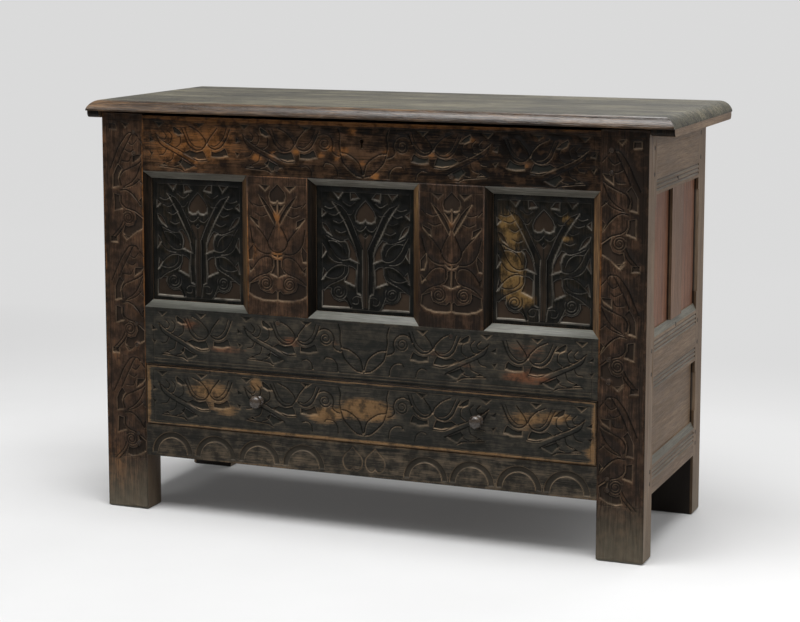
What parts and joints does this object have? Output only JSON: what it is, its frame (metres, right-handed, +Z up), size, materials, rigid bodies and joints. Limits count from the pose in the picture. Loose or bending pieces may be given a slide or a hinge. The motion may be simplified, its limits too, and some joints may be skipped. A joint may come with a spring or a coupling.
{
  "type": "coffer chest",
  "caption": "Joined oak coffer chest with carved front panels and rails, a lifting lid on wire hinges, a lock and one long drawer below.",
  "frame": {"origin": "on the floor under the middle of the whole object's outline", "axes": "+X to the viewer's right along the front, +Y from the front to the back, +Z up"},
  "size_m": [1.197, 0.472, 0.827],
  "materials": {
    "carved_oak": "very dark aged and waxed oak, rubbed to brown on the edges",
    "plain_oak": "aged oak, worn grey-brown",
    "lid_oak": "aged oak with an open grain and a worn wax sheen",
    "inner_oak": "dry unfinished oak",
    "turned_wood": "handled hardwood, satin",
    "peg_oak": "cleft oak end grain",
    "iron": "black wrought iron, dull"
  },
  "bodies": {
    "case": {"drawer_runner_left": "inner_oak", "drawer_runner_right": "inner_oak", "floor_board_1": "inner_oak", "floor_board_2": "inner_oak", "floor_board_3": "inner_oak", "floor_board_4": "inner_oak", "frame_pegs": "peg_oak", "front_bottom_rail": "carved_oak", "front_centre_panel": "carved_oak", "front_left_muntin": "carved_oak", "front_left_panel": "carved_oak", "front_left_stile": "carved_oak", "front_middle_rail": "carved_oak", "front_right_muntin": "carved_oak", "front_right_panel": "carved_oak", "front_right_stile": "carved_oak", "front_top_rail": "carved_oak", "hinge_eye_left": "iron", "hinge_eye_right": "iron", "left_bottom_rail": "plain_oak", "left_front_panel": "plain_oak", "left_lower_panel": "plain_oak", "left_middle_rail": "plain_oak", "left_muntin": "plain_oak", "left_rear_panel": "plain_oak", "left_top_rail": "plain_oak", "lock_case": "iron", "lock_nails": "iron", "rear_bottom_rail": "inner_oak", "rear_left_panel": "inner_oak", "rear_left_stile": "plain_oak", "rear_lower_panel": "inner_oak", "rear_middle_rail": "inner_oak", "rear_muntin": "inner_oak", "rear_right_panel": "inner_oak", "rear_right_stile": "plain_oak", "rear_top_rail": "inner_oak", "right_bottom_rail": "plain_oak", "right_front_panel": "plain_oak", "right_lower_panel": "plain_oak", "right_middle_rail": "plain_oak", "right_muntin": "plain_oak", "right_rear_panel": "plain_oak", "right_top_rail": "plain_oak"},
    "lid": {"lid_board": "lid_oak", "lid_cleat_left": "lid_oak", "lid_cleat_right": "lid_oak", "cleat_nails": "iron", "hinge_loop_left": "iron", "hinge_loop_right": "iron", "lock_staple": "iron"},
    "drawer": {"drawer_back": "inner_oak", "drawer_bottom": "inner_oak", "drawer_front": "carved_oak", "drawer_left_knob": "turned_wood", "drawer_left_side": "inner_oak", "drawer_nails": "iron", "drawer_right_knob": "turned_wood", "drawer_right_side": "inner_oak"},
    "lock_bolt": {"lock_bolt": "iron"}
  },
  "joints": [
    {"name": "lid_hinge", "type": "hinge", "parent": "case", "child": "lid", "pos_m": [0, 0.2265, 0.7985], "axis": [-1, 0, 0], "range_deg": [0, 95]},
    {"name": "drawer_slide", "type": "slide", "parent": "case", "child": "drawer", "axis": [0, -1, 0], "range_m": [0, 0.3]},
    {"name": "bolt_slide", "type": "slide", "parent": "case", "child": "lock_bolt", "axis": [-1, 0, 0], "range_m": [0, 0.018]}
  ]
}
